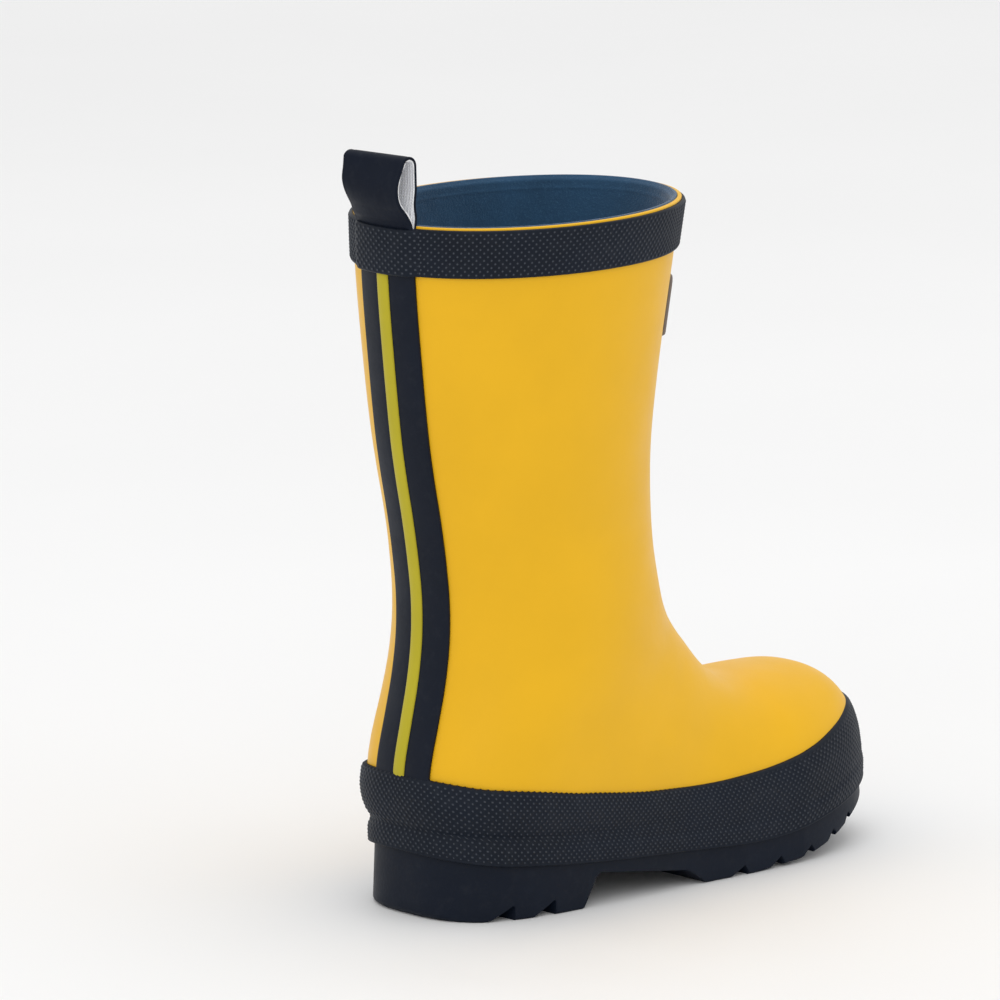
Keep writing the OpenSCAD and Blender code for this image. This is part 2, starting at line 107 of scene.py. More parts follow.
class Nodes:
    """Short names for building one material's node tree."""

    def __init__(self, name):
        self.material = bpy.data.materials.new(name)
        self.material.use_nodes = True
        self.tree = self.material.node_tree
        self.shader = self.tree.nodes["Principled BSDF"]
        self.coord = self.add("ShaderNodeTexCoord").outputs["Object"]

    def add(self, kind, **settings):
        node = self.tree.nodes.new(kind)
        for key, value in settings.items():
            setattr(node, key, value)
        return node

    def link(self, out, socket):
        self.tree.links.new(out, socket)

    def noise(self, scale, detail=3.0, rough=0.55, where=None):
        node = self.add("ShaderNodeTexNoise")
        node.inputs["Scale"].default_value = scale
        node.inputs["Detail"].default_value = detail
        node.inputs["Roughness"].default_value = rough
        self.link(where or self.coord, node.inputs["Vector"])
        return node.outputs["Fac"]

    def spread(self, fac, low, high, start=0.3, end=0.7):
        node = self.add("ShaderNodeMapRange")
        node.inputs["From Min"].default_value = start
        node.inputs["From Max"].default_value = end
        node.inputs["To Min"].default_value = low
        node.inputs["To Max"].default_value = high
        self.link(fac, node.inputs["Value"])
        return node.outputs["Result"]

    def blend(self, fac, one, two):
        node = self.add("ShaderNodeMix", data_type="RGBA")
        self.link(fac, node.inputs["Factor"])
        for socket, colour in ((node.inputs[6], one), (node.inputs[7], two)):
            if isinstance(colour, tuple):
                socket.default_value = (*colour, 1)
            else:
                self.link(colour, socket)
        return node.outputs[2]

    def math(self, operation, a, b=None):
        node = self.add("ShaderNodeMath", operation=operation)
        for socket, value in zip(node.inputs, (a, b)):
            if isinstance(value, (int, float)):
                socket.default_value = value
            elif value is not None:
                self.link(value, socket)
        return node.outputs[0]

    def bump(self, height, strength, distance, under=None):
        node = self.add("ShaderNodeBump")
        node.inputs["Strength"].default_value = strength
        node.inputs["Distance"].default_value = distance
        self.link(height, node.inputs["Height"])
        if under is not None:
            self.link(under, node.inputs["Normal"])
        return node.outputs["Normal"]

    def finish(self, colour, rough, normal=None, **constants):
        self.link(colour, self.shader.inputs["Base Color"])
        self.link(rough, self.shader.inputs["Roughness"])
        if normal is not None:
            self.link(normal, self.shader.inputs["Normal"])
        for key, value in constants.items():
            self.shader.inputs[key.replace("_", " ")].default_value = value
        return self.material


def shade(colour, k):
    return tuple(min(1.0, c * k) for c in colour)


def rubber(name, colour, rough=0.45, mottle=0.06, grain=0.10, dust=0.0, gloss_level=0.2, tip_wear_and_sheen=None):
    """Moulded rubber: faint mottling, a fine surface grain, uneven gloss and paler stud tips, partly wear
    and partly a painted highlight for the glints on the studs.
    """
    n = Nodes(name)
    cloud = n.noise(38, 4)
    fine = n.noise(900, 2)
    tint = n.blend(n.spread(cloud, 0, 1, 0.35, 0.65), shade(colour, 1 - mottle), shade(colour, 1 + mottle))
    if dust:
        speck = n.spread(n.noise(260, 5, 0.7), 0, dust, 0.5, 0.75)
        tint = n.blend(speck, tint, (0.10, 0.105, 0.115))
    if tip_wear_and_sheen:
        # Stud tips blend towards a pale colour: partly wear, partly a painted highlight standing in for the
        # studs' glints.
        relief = n.add("ShaderNodeAttribute", attribute_name="relief").outputs["Fac"]
        tint = n.blend(n.spread(relief, 0, 0.9, 0.45, 0.95), tint, tip_wear_and_sheen)
    gloss = n.math("ADD", n.spread(n.noise(70, 3), rough - 0.05, rough + 0.05), n.spread(fine, -0.02, 0.02))
    swell = n.bump(n.noise(24, 2), 0.12, 0.002)
    normal = n.bump(fine, grain, 0.0002, swell)
    return n.finish(tint, gloss, normal, Specular_IOR_Level=gloss_level, IOR=1.5)


def floor_material():
    n = Nodes("floor_paper")
    tint = n.blend(n.spread(n.noise(3, 2), 0, 1), (0.86, 0.86, 0.86), (0.88, 0.88, 0.88))
    return n.finish(tint, n.spread(n.noise(40, 2), 0.65, 0.75))


def lining_material():
    """Blue napped knit: a fine nap with pale fibres, slow changes of depth and a soft sheen."""
    n = Nodes("lining_knit")
    fuzz = n.noise(1500, 4, 0.75)
    tufts = n.noise(420, 3, 0.6)
    patches = n.noise(60, 4, 0.6)
    base = n.blend(n.spread(patches, 0, 1, 0.3, 0.7), (0.010, 0.050, 0.108), (0.016, 0.070, 0.148))
    pale = n.blend(n.spread(fuzz, 0, 0.5, 0.52, 0.75), base, (0.06, 0.15, 0.26))
    height = n.math("ADD", n.math("MULTIPLY", tufts, 0.6), fuzz)
    normal = n.bump(height, 0.5, 0.0005)
    return n.finish(pale, n.spread(fuzz, 0.85, 0.97), normal, Sheen_Weight=0.35, Sheen_Roughness=0.4)


def webbing_material():
    """Light grey woven tape: long ribs along the strap with a weft across them."""
    n = Nodes("webbing_weave")
    split = n.add("ShaderNodeSeparateXYZ")
    n.link(n.coord, split.inputs[0])
    ribs = n.math("SINE", n.math("MULTIPLY", split.outputs["Y"], 6300.0))
    weft = n.math("SINE", n.math("MULTIPLY", split.outputs["Z"], 7800.0))
    crossing = n.math("MULTIPLY", n.math("MULTIPLY", ribs, weft), 0.5)
    weave = n.math("ADD", n.math("MULTIPLY", ribs, 0.8), crossing)
    fibres = n.noise(2400, 3, 0.7)
    height = n.math("ADD", n.spread(weave, 0, 1, -1.3, 1.3), n.math("MULTIPLY", fibres, 0.3))
    tint = n.blend(n.spread(height, 0, 1, 0.15, 1.0), (0.60, 0.61, 0.65), (0.94, 0.95, 0.97))
    return n.finish(tint, n.spread(fibres, 0.75, 0.9), n.bump(height, 0.7, 0.0004), Sheen_Weight=0.2)


def board_material():
    n = Nodes("fibre_board")
    fibres = n.noise(500, 5, 0.7)
    tint = n.blend(n.spread(fibres, 0, 1), (0.42, 0.31, 0.19), (0.60, 0.47, 0.31))
    return n.finish(tint, n.spread(fibres, 0.8, 0.95), n.bump(fibres, 0.4, 0.0003))


def foam_material(name, colour):
    n = Nodes(name)
    cells = n.add("ShaderNodeTexVoronoi")
    cells.inputs["Scale"].default_value = 1500
    n.link(n.coord, cells.inputs["Vector"])
    pores = n.spread(cells.outputs["Distance"], 0, 1, 0, 0.6)
    tint = n.blend(pores, shade(colour, 0.6), shade(colour, 1.1))
    return n.finish(tint, n.spread(pores, 0.8, 0.95), n.bump(pores, 0.5, 0.0003))


def canvas_material():
    n = Nodes("rubberised_canvas")
    split = n.add("ShaderNodeSeparateXYZ")
    n.link(n.coord, split.inputs[0])
    warp = n.math("SINE", n.math("MULTIPLY", split.outputs["X"], 6000.0))
    weft = n.math("SINE", n.math("MULTIPLY", split.outputs["Z"], 6000.0))
    weave = n.spread(n.math("MULTIPLY", warp, weft), 0, 1, -1, 1)
    tint = n.blend(weave, (0.07, 0.07, 0.07), (0.16, 0.16, 0.15))
    return n.finish(tint, n.spread(n.noise(300), 0.75, 0.9), n.bump(weave, 0.5, 0.0003))


YELLOW = (0.800, 0.440, 0.006)
NAVY = (0.0025, 0.0055, 0.0140)
TEXTURED = (0.0040, 0.0075, 0.0155)
SOLE = (0.0025, 0.0060, 0.0150)
LIME = (0.46, 0.39, 0.019)
# Pale colour of the stud tips: partly wear, partly a painted highlight for the glints on the studs.
TIP_WEAR_AND_SHEEN = (0.075, 0.085, 0.104)

MATERIALS = {
    "shell": rubber("yellow_rubber", YELLOW, 0.42, 0.02, 0.05, 0.0, 0.25),
    # Its stud tips are painted paler: partly wear, partly a painted highlight.
    "textured": rubber("textured_navy_rubber", TEXTURED, 0.48, 0.15, 0.25, 0.06, 0.16, TIP_WEAR_AND_SHEEN),
    "navy": rubber("smooth_navy_rubber", NAVY, 0.46, 0.10, 0.12, 0.05, 0.16),
    "loop": rubber("loop_rubber", NAVY, 0.52, 0.15, 0.2, 0.05, 0.12),
    "lime": rubber("lime_rubber", LIME, 0.42, 0.05, 0.08),
    "badge": rubber("badge_rubber", (0.17, 0.14, 0.12), 0.55, 0.08, 0.25),
    "sole": rubber("outsole_rubber", SOLE, 0.52, 0.10, 0.25, 0.04, 0.16),
    "lining": lining_material(),
    "webbing": webbing_material(),
    "board": board_material(),
    "foam": foam_material("footbed_foam", (0.2, 0.22, 0.25)),
    "sponge": foam_material("sponge_rubber", (0.11, 0.11, 0.11)),
    "canvas": canvas_material(),
}

# ---------------------------------------------------------------- the boot's surface, in mm

RIM_Z = 203.8
SHELL_T, LINING_T = 2.0, 1.2
BINDING_DROP, BINDING_H = 0.6, 13.8
STRAP_W, FACE_T, WEB_T = 22.0, 0.8, 0.6
STRAP_T = FACE_T + WEB_T
LOOP_H = 15.4
LOOP_FOOT, LOOP_FRONT = (0.0, 0.0, STRAP_T), (-9.0, 0.57 * LOOP_H, 11.3)
LOOP_HEAD, LOOP_BACK = (-0.8, LOOP_H, 2.9), (3.4, 0.57 * LOOP_H, 9.4)
PATCH_W, TAB_T = 27.0, 2.0
STAY_W, STAY_T, PIPING_W, PIPING_T, STAY_LOW = 22.0, 1.0, 4.4, 0.9, 40.6
BADGE_W, BADGE_H, BADGE_T = 46.0, 18.0, 1.0
RAND_T, BEAD_T, STRIP_T, SKIN_GAP = 1.6, 0.6, 0.5, 0.3
BOARD_T, STIFFENER_T, FOAM_T, COVER_T = 1.6, 0.8, 3.0, 0.8
GAP = 0.05
MIDDLE_X = 86.64
BINDING_TOP = RIM_Z - BINDING_DROP
BINDING_LOW = BINDING_TOP - BINDING_H
ANKLE_X, ANKLE_Z = 135.0, 100.0
TOE_X, TOE_Z = 180.0, 26.0
BALL_HALF = 32.6

BACK_LINE = [(0, 2), (15, 0.5), (30, 2.2), (44, 3.8), (57, 6.7), (69, 9.3), (81, 10.8), (93, 10.8),
             (105, 9.4), (117, 7.4), (129, 5), (141, 3), (165, 0.2), (186, -1.8), (205, -2.6),
             (225, -3.2)]
FRONT_LINE = [(60, 97.5), (80, 95.5), (93, 93.7), (105, 92), (129, 90.8), (153, 93), (186, 98.7),
              (205, 102.4), (225, 106.3)]
VAMP_LINE = [(60, 61), (100, 58), (120, 54), (135, 53.5), (150, 53.3), (165, 53.6), (180, 51.5)]
UNDERSIDE = [(0, 20), (30, 18), (60, 14.5), (90, 11.5), (120, 11), (150, 12.5), (180, 17)]
SHAFT_HALF = [(100, 33), (110, 33), (129, 34.4), (153, 36.6), (186, 39), (205, 40), (225, 41)]
FAN_HALF = [(0, 33), (15, 33.4), (30, 33), (45, 31.2), (60, 29.8), (75, 31.2), (90, 32.6)]
WIDEST_AT = [(0, 0.5), (1, 0.5), (1.3, 0.54), (1.5, 0.66), (2, 0.72), (3, 0.6)]
SQUARE_ABOVE = [(0, 2.05), (1, 2.1), (1.5, 2.2), (2, 2.3), (3, 2.3)]
SQUARE_BELOW = [(0, 2.05), (1, 2.1), (1.2, 2.2), (1.34, 2.9), (1.44, 3.8), (2, 3.6), (3, 2.8)]
RAND_TOP_LINE = [(-4, 43.2), (5, 41.6), (12, 40.1), (18, 39.3), (25, 38.4), (33, 37.1), (43, 35.3),
                 (52, 34), (62, 32.4), (72, 31.1), (83, 30.2), (93, 29.5), (103, 29.3),
                 (112, 29.7), (122, 30.4), (132, 31.8), (143, 34.2), (155, 37.7), (167, 41),
                 (182, 42.5)]
RAND_LOW_LINE = [(-4, 22), (3, 20.6), (8, 18.7), (19, 16.6), (30, 15.5), (48, 13.8), (76, 11.8),
                 (105, 9.9), (116, 9.6), (127, 10), (134, 11), (146, 13.4), (157, 15.8), (184, 21.5)]
WIDEST_LINE = [(-2, 27), (10, 26), (30, 24), (60, 22), (110, 22), (150, 24), (180, 26)]


def curve(points, at):
    """Smooth curve through a table's points, the same as in the CAD source."""
    k, p = np.array(points, float).T
    slopes = np.empty(len(k))
    slopes[1:-1] = (p[2:] - p[:-2]) / (k[2:] - k[:-2])
    slopes[0] = (p[1] - p[0]) / (k[1] - k[0])
    slopes[-1] = (p[-1] - p[-2]) / (k[-1] - k[-2])
    t = np.clip(at, k[0], k[-1])
    i = np.clip(np.searchsorted(k, t, side="right") - 1, 0, len(k) - 2)
    h = k[i + 1] - k[i]
    s = (t - k[i]) / h
    r = 1 - s
    return ((1 + 2 * s) * r * r * p[i] + s * r * r * h * slopes[i]
            + s * s * (3 - 2 * s) * p[i + 1] - s * s * r * h * slopes[i + 1])


def mix(a, b, t):
    return a + (b - a) * t


def ramp(a, b, t):
    s = np.clip((t - a) / (b - a), 0, 1)
    return s * s * (3 - 2 * s)


def fan_point(upright, level, turn, round_by):
    """Where the fan's ray meets a corner rounded between an upright and a level line."""
    c = np.maximum(np.cos(turn), 1e-6)
    s = np.maximum(np.sin(turn), 1e-6)
    a = np.full_like(c, 60.0)
    b = np.full_like(c, 60.0)
    for _ in range(12):
        a, b = ((ANKLE_X - curve(upright, ANKLE_Z - np.minimum(a, 400) * s)) / c,
                (ANKLE_Z - curve(level, ANKLE_X - np.minimum(b, 400) * c)) / s)
    r = (a ** -round_by + b ** -round_by) ** (-1 / round_by)
    return ANKLE_X - r * c, ANKLE_Z - r * s


def shaft_z(v):
    return mix(RIM_Z, ANKLE_Z, v)


def v_at(z):
    return (RIM_Z - z) / (RIM_Z - ANKLE_Z)


def foot_x(v):
    return mix(ANKLE_X, TOE_X, np.sin(np.clip(v - 2, 0, 1) * math.pi / 2))


def toe_share(x):
    return np.clip((x - ANKLE_X) / (TOE_X - ANKLE_X), 0, 1)


def toe_round(x, p):
    return (1 - toe_share(x) ** p) ** (1 / p)


def foot_top(x):
    return mix(TOE_Z, curve(VAMP_LINE, x), toe_round(x, 3.2))


def foot_under(x):
    return mix(TOE_Z, curve(UNDERSIDE, x), toe_round(x, 3.0))


def by_part(v, shaft, fan, foot):
    return np.where(v < 1, shaft, np.where(v < 2, fan, foot))


def end_points(v):
    """Front (or top) and back (or bottom) point of each ring, as x and z arrays."""
    turn = np.clip(v - 1, 0, 1) * math.pi / 2
    z, x = shaft_z(v), foot_x(v)
    fx, fz = fan_point(FRONT_LINE, VAMP_LINE, turn, 2.2)
    gx, gz = fan_point(BACK_LINE, UNDERSIDE, turn, 12)
    front = by_part(v, curve(FRONT_LINE, z), fx, x), by_part(v, z, fz, foot_top(x))
    back = by_part(v, curve(BACK_LINE, z), gx, x), by_part(v, z, gz, foot_under(x))
    return front, back


def half_width(v):
    return by_part(v, curve(SHAFT_HALF, shaft_z(v)), curve(FAN_HALF, 90 * np.clip(v - 1, 0, 1)),
                   BALL_HALF * toe_round(foot_x(v), 2.3))


def swing(x):
    return 6 * np.clip((x - 80) / 100, 0, None) ** 2


def on_surface(v, turn):
    v, turn = np.broadcast_arrays(np.asarray(v, float), np.asarray(turn, float))
    (fx, fz), (gx, gz) = end_points(v)
    c, s = np.cos(np.radians(turn)), np.sin(np.radians(turn))
    p = np.where(c > 0, curve(SQUARE_ABOVE, v), curve(SQUARE_BELOW, v))
    wide = curve(WIDEST_AT, v)
    k = np.abs(c) ** (2 / p)
    h = np.where(c > 0, wide * (1 - k), wide + (1 - wide) * k)
    x, z = mix(fx, gx, h), mix(fz, gz, h)
    y = half_width(v) * np.abs(s) ** (2 / p) * np.sign(s) + swing(x)
    return np.stack([x, y, z], -1)


def outward(v, turn):
    down = on_surface(v + 0.005, turn) - on_surface(v - 0.005, turn)
    around = on_surface(v, turn + 1.0) - on_surface(v, turn - 1.0)
    n = np.cross(down, around)
    return n / np.maximum(np.linalg.norm(n, axis=-1, keepdims=True), 1e-9)


def off_surface(v, turn, depth):
    v, turn, depth = np.broadcast_arrays(*(np.asarray(a, float) for a in (v, turn, depth)))
    return on_surface(v, turn) + depth[..., None] * outward(v, turn)


def back_turn(v, y):
    power = curve(SQUARE_BELOW, v) / 2
    return 180 - np.sign(y) * np.degrees(np.arcsin((np.abs(y) / half_width(v)) ** power))


def front_turn(v, y):
    power = curve(SQUARE_ABOVE, v) / 2
    return np.sign(y) * np.degrees(np.arcsin((np.abs(y) / half_width(v)) ** power))


def under_foot(v, turn):
    return ramp(1.32, 1.39, v) * ramp(0.15, 0.65, -np.cos(np.radians(turn)))


def shell_depth(v):
    """The shell's thickness, which tapers to a thin edge at the rim."""
    return SHELL_T - 0.8 * ramp(0.014, 0.0, v)


def lining_depth(v, turn):
    stiffener = ramp(1, 1.12, v) * (STIFFENER_T + 0.2)
    return shell_depth(v) + GAP + stiffener + under_foot(v, turn) * (BOARD_T - 0.6)


# ---------------------------------------------------------------- meshes from grids of points


def new_piece(name, points, faces, material, body="boot", replaced=(), slot=None, relief=None):
    """Piece in the part's frame. relief holds the studs' heights, which the textured rubber reads."""
    mesh = bpy.data.meshes.new(name)
    moved = (np.asarray(points, float) - (MIDDLE_X, 0, 0)) * MM
    mesh.from_pydata(moved.tolist(), [], faces)
    mesh.validate()
    obj = bpy.data.objects.new(name, mesh)
    bpy.context.scene.collection.objects.link(obj)
    mesh.materials.append(MATERIALS[material])
    mesh.polygons.foreach_set("use_smooth", [True] * len(mesh.polygons))
    if relief is not None:
        heights = np.zeros(len(mesh.vertices), np.float32)
        heights[:relief.size] = np.ravel(relief)
        mesh.attributes.new("relief", "FLOAT", "POINT").data.foreach_set("value", heights)
    if replaced:
        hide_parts(*replaced)
    if body:
        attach(obj, body)
    return obj


def grid_faces(n, m, closed=False, flip=False):
    i, j = np.meshgrid(np.arange(n - 1), np.arange(m if closed else m - 1), indexing="ij")
    a = i * m + j
    b = i * m + (j + 1) % m
    quads = np.stack([a, b, b + m, a + m], -1).reshape(-1, 4)
    return (quads[:, ::-1] if flip else quads).tolist()


def band_mesh(rows):
    """Closed skin of a ring-shaped solid: rows run round its cross-section, points round the ring."""
    n, m = rows.shape[:2]
    faces = [[k % (n * m) for k in face] for face in grid_faces(n + 1, m, closed=True)]
    return rows.reshape(-1, 3), faces


def edge_spaced(lo, hi, n, lip):
    """Stations from lo to hi with a few close together within lip of each end."""
    near = lip * np.array([0.0, 0.06, 0.2, 0.45, 0.75])
    inner = np.linspace(lo + lip, hi - lip, n)
    return np.concatenate([lo + near, inner, (hi - near)[::-1]])


def rounded(distance, radius):
    """Drop of a rounded edge at a distance in from it: radius at the edge, 0 past the radius."""
    e = np.clip(radius - distance, 0, radius)
    return radius - np.sqrt(np.maximum(radius ** 2 - e ** 2, 0))


# ---------------------------------------------------------------- shell and lining


def sock_piece(name, rings, turns, outer_depth, inner_depth, lip, **about):
    """Sock-shaped skin: up the outside, over the rim in a rounded lip, down the inside."""
    v, a = np.meshgrid(rings, turns, indexing="ij")
    outer, inner = outer_depth(v, a), inner_depth(v, a)
    mid = (outer[0] + inner[0]) / 2
    half = (outer[0] - inner[0]) / 2
    over = [
        off_surface(rings[0] - lip * math.sin(t) / (RIM_Z - ANKLE_Z), turns, mid + half * math.cos(t))
        for t in np.radians([30, 60, 90, 120, 150])
    ]
    rows = np.concatenate([off_surface(v, a, outer)[::-1], over, off_surface(v, a, inner)])
    n, m = rows.shape[:2]
    faces = grid_faces(n, m, closed=True, flip=True)
    tip_out = rows[0].mean(0)
    tip_in = rows[-1].mean(0)
    points = np.concatenate([rows.reshape(-1, 3), [tip_out, tip_in]])
    faces += [[(j + 1) % m, j, n * m][::-1] for j in range(m)]
    last = (n - 1) * m
    faces += [[last + j, last + (j + 1) % m, n * m + 1][::-1] for j in range(m)]
    return new_piece(name, points, faces, **about)


def main_rings(top=0.0):
    return np.concatenate([np.linspace(top, 1, 34)[:-1], np.linspace(1, 2, 52)[:-1],
                           2 + np.linspace(0, 0.997, 40)])


def upper_shell():
    turns = np.arange(0, 360, 360 / 200)
    return sock_piece("shell", main_rings(0.002), turns, lambda v, a: 0 * v, lambda v, a: -shell_depth(v),
                      0.2, material="shell", replaced=("upper_shell",), slot="shell_rubber")


def lining_sock():
    """Knitted lining with the raised line of its hem below the rim and a seam down the back."""
    turns = np.arange(0, 360, 360 / 240)

    def inner(v, a):
        hem = 0.12 * np.exp(-((v - 0.036) / 0.004) ** 2)
        seam = 0.35 * np.exp(-((a - 180) / 1.6) ** 2) * ramp(1.3, 1.2, v)
        return -lining_depth(v, a) - LINING_T - hem - seam

    rings = np.concatenate([np.linspace(0.002, 0.12, 40), main_rings(0.135)])
    return sock_piece("lining", rings, turns, lambda v, a: -lining_depth(v, a), inner,
                      0.3, material="lining", replaced=("lining_sock",), slot="lining_textile")


def footbed():
    """Glued-in footbed, on the real boot a foam pad with a textile top: here one crowned pad with rounded
    edges, all in the lining's knit.
    """
    rings, turns = np.linspace(1.385, 2.79, 90), np.linspace(144.5, 215.5, 61)
    v, a = np.meshgrid(rings, turns, indexing="ij")
    side = 1 - np.abs(a - 180) / 35.5
    end = np.minimum(v - rings[0], rings[-1] - v) / 0.12
    near = np.clip(np.minimum(side * 6, end), 0, 1)
    full = (FOAM_T + COVER_T) * np.sqrt(1 - (1 - near) ** 2)
    crown = 0.5 * side ** 0.5 * near
    low = lining_depth(v, a) + LINING_T + 0.3
    top = off_surface(v, a, -low - 0.25 - (full + crown) * 0.9)
    under = off_surface(v, a, -low)
    obj = new_piece("footbed", *swept_mesh(wrapped(top, under)), material="lining",
                    replaced=("footbed_foam", "footbed_cover"), slot="footbed_foam")


# ---------------------------------------------------------------- trims on the shaft

STUD_PITCH, BAND_PITCH = 2.1, 2.0


def evenly_round(v, lo, hi, step):
    """Turns from lo to hi at even steps along ring v, with the length run at each."""
    fine = np.linspace(lo, hi, 3000)
    path = on_surface(v, fine)
    run = np.concatenate([[0], np.cumsum(np.linalg.norm(np.diff(path, axis=0), axis=1))])
    at = np.linspace(0, run[-1], int(round(run[-1] / step)) + 1)
    return np.interp(at, run, fine), at


def studs(a, b, pitch=STUD_PITCH):
    """Staggered rows of small domes, from 0 to 1, over lengths a and b in mm."""
    wave = np.cos(2 * math.pi * a / pitch) * np.cos(2 * math.pi * b / pitch)
    return np.clip((wave - 0.08) / 0.92, 0, 1) ** 0.75


def swept_mesh(sections):
    """Solid through closed cross-sections (n of them with k points each), capped at both ends."""
    n, k = sections.shape[:2]
    faces = grid_faces(n, k, closed=True)
    faces += [list(range(k)), [(n - 1) * k + j for j in range(k)][::-1]]
    return sections.reshape(-1, 3), faces


def wrapped(face, back):
    """Cross-sections of a strip: its face grid from one edge to the other, then its back grid."""
    return np.concatenate([face, back[:, ::-1]], 1)


def top_binding():
    edge = 180 - back_turn(v_at((BINDING_TOP + BINDING_LOW) / 2), PATCH_W / 2 - 1.2)
    turns, run = evenly_round(v_at(196.0), -180 + edge, 180 - edge, STUD_PITCH / 6)
    z = edge_spaced(BINDING_LOW, BINDING_TOP, 38, 0.55)
    inset = np.minimum(z - BINDING_LOW, BINDING_TOP - z)
    relief = studs(run[:, None], BINDING_TOP - z[None, :]) * ramp(0.25, 0.7, inset)
    depth = 1.15 - rounded(inset, 0.55) + 0.34 * relief
    face = off_surface(v_at(z)[None, :], turns[:, None], depth)
    low = np.linspace(BINDING_LOW, BINDING_TOP, 4)
    back = off_surface(v_at(low)[None, :], turns[:, None], -0.04)
    new_piece("binding", *swept_mesh(wrapped(face, back)), material="textured", replaced=("top_binding",),
              slot="textured_rubber", relief=wrapped(relief, np.zeros(back.shape[:2])))


def loop_anchor_patch():
    y = edge_spaced(-PATCH_W / 2, PATCH_W / 2, 74, 0.8)
    z = edge_spaced(BINDING_LOW, BINDING_TOP, 38, 0.7)
    yy, zz = np.meshgrid(y, z, indexing="ij")
    side = PATCH_W / 2 - np.abs(yy)
    inset = np.minimum(zz - BINDING_LOW, BINDING_TOP - zz)
    relief = studs(yy + 0.3, BINDING_TOP - zz) * ramp(0.2, 0.8, inset) * ramp(0.0, 0.6, side)
    depth = 2.95 - 1.8 * ramp(5.0, 0, side) - rounded(inset, 0.7) - 0.2 * rounded(side, 0.8)
    v = v_at(zz)
    face = off_surface(v, back_turn(v, yy), depth + 0.3 * relief)
    low = np.linspace(BINDING_LOW, BINDING_TOP, 4)
    yb, zb = np.meshgrid(y, low, indexing="ij")
    back = off_surface(v_at(zb), back_turn(v_at(zb), yb), 0.1)
    new_piece("anchor_patch", *swept_mesh(wrapped(face, back)), material="textured",
              replaced=("loop_anchor_patch", "loop_tabs"), slot="textured_rubber",
              relief=wrapped(relief, np.zeros(back.shape[:2])))


def stay_v(z):
    low = 1 + np.degrees(np.arctan2(ANKLE_Z - z, ANKLE_X - curve(BACK_LINE, z))) / 90
    return np.where(z > ANKLE_Z, v_at(z), low)


def stay_rows():
    return np.linspace(float(stay_v(BINDING_LOW + 1.5)), float(stay_v(STAY_LOW)), 170)


def back_strip(rows, y, depth, under):
    """Swept solid down the back: stations at distances y from the middle, at the given depths."""
    v, yy = np.meshgrid(rows, y, indexing="ij")
    face = off_surface(v, back_turn(v, yy), np.broadcast_to(depth, v.shape))
    few = np.linspace(y[0], y[-1], 8)
    vb, yb = np.meshgrid(rows, few, indexing="ij")
    back = off_surface(vb, back_turn(vb, yb), under)
    return swept_mesh(wrapped(face[:, ::-1], back[:, ::-1]))


def back_stay():
    y = edge_spaced(-STAY_W / 2, STAY_W / 2, 26, 0.45)
    groove = 0.25 * np.exp(-((np.abs(y) - PIPING_W / 2 - 0.25) / 0.35) ** 2)
    depth = STAY_T - rounded(STAY_W / 2 - np.abs(y), 0.45) - groove
    new_piece("stay", *back_strip(stay_rows(), y, depth, -0.04), material="navy",
              replaced=("back_stay",), slot="smooth_rubber")


def back_stay_piping():
    half = PIPING_W / 2
    y = half * np.sin(np.linspace(-math.pi / 2, math.pi / 2, 25))
    crown = np.sqrt(np.maximum(1 - (y / half) ** 2, 0)) ** 0.8
    rows = stay_rows()
    tuck = ramp(rows[-1], float(stay_v(42.6)), rows)[:, None]
    depth = STAY_T - 0.1 + (PIPING_T + 0.05) * crown * mix(0.05, 1, tuck)
    new_piece("piping", *back_strip(rows, y, depth, STAY_T - 0.4), material="lime",
              replaced=("back_stay_piping",), slot="piping_rubber")


def front_badge():
    """Blank moulded badge: a raised rim round a finely ribbed field."""
    top = BINDING_LOW - 9
    y = edge_spaced(-BADGE_W / 2, BADGE_W / 2, 90, 0.5)
    z = edge_spaced(top - BADGE_H, top, 60, 0.5)
    yy, zz = np.meshgrid(y, z, indexing="ij")
    corner = 3.0
    qx = np.abs(yy) - BADGE_W / 2 + corner
    qz = np.abs(zz - top + BADGE_H / 2) - BADGE_H / 2 + corner
    outside = np.hypot(np.maximum(qx, 0), np.maximum(qz, 0)) + np.minimum(np.maximum(qx, qz), 0)
    inset = corner - outside
    shift = np.where(inset < 0, -inset, 0)
    scale = 1 - shift / np.maximum(np.hypot(np.maximum(qx, 0), np.maximum(qz, 0)), 1e-6)
    yy = np.where(inset < 0, np.sign(yy) * (BADGE_W / 2 - corner + np.maximum(qx, 0) * scale), yy)
    zz = np.where(inset < 0, top - BADGE_H / 2 + np.sign(zz - top + BADGE_H / 2)
                  * (BADGE_H / 2 - corner + np.maximum(qz, 0) * scale), zz)
    inset = np.maximum(inset, 0)
    rim = 0.35 * ramp(0.1, 0.6, inset) * ramp(2.2, 1.6, inset)
    ribs = 0.08 * np.cos(2 * math.pi * zz / 1.2) * ramp(2.2, 3.0, inset)
    depth = BADGE_T - 0.35 - rounded(inset, 0.5) + rim + ribs
    v = v_at(zz)
    turn = front_turn(v, yy)
    face = off_surface(v, turn, depth)
    back = off_surface(v[:, ::12], turn[:, ::12], -0.04)
    new_piece("badge", *swept_mesh(wrapped(face, back)[:, ::-1]), material="badge",
              replaced=("front_badge",), slot="badge_rubber")


# ---------------------------------------------------------------- pull loop


def tangent(a, b):
    """Direction of the outer tangent's normal from one circle (x, z, radius) on to the next."""
    across, up = b[0] - a[0], b[1] - a[1]
    return math.atan2(up, across) - math.acos((a[2] - b[2]) / math.hypot(across, up))


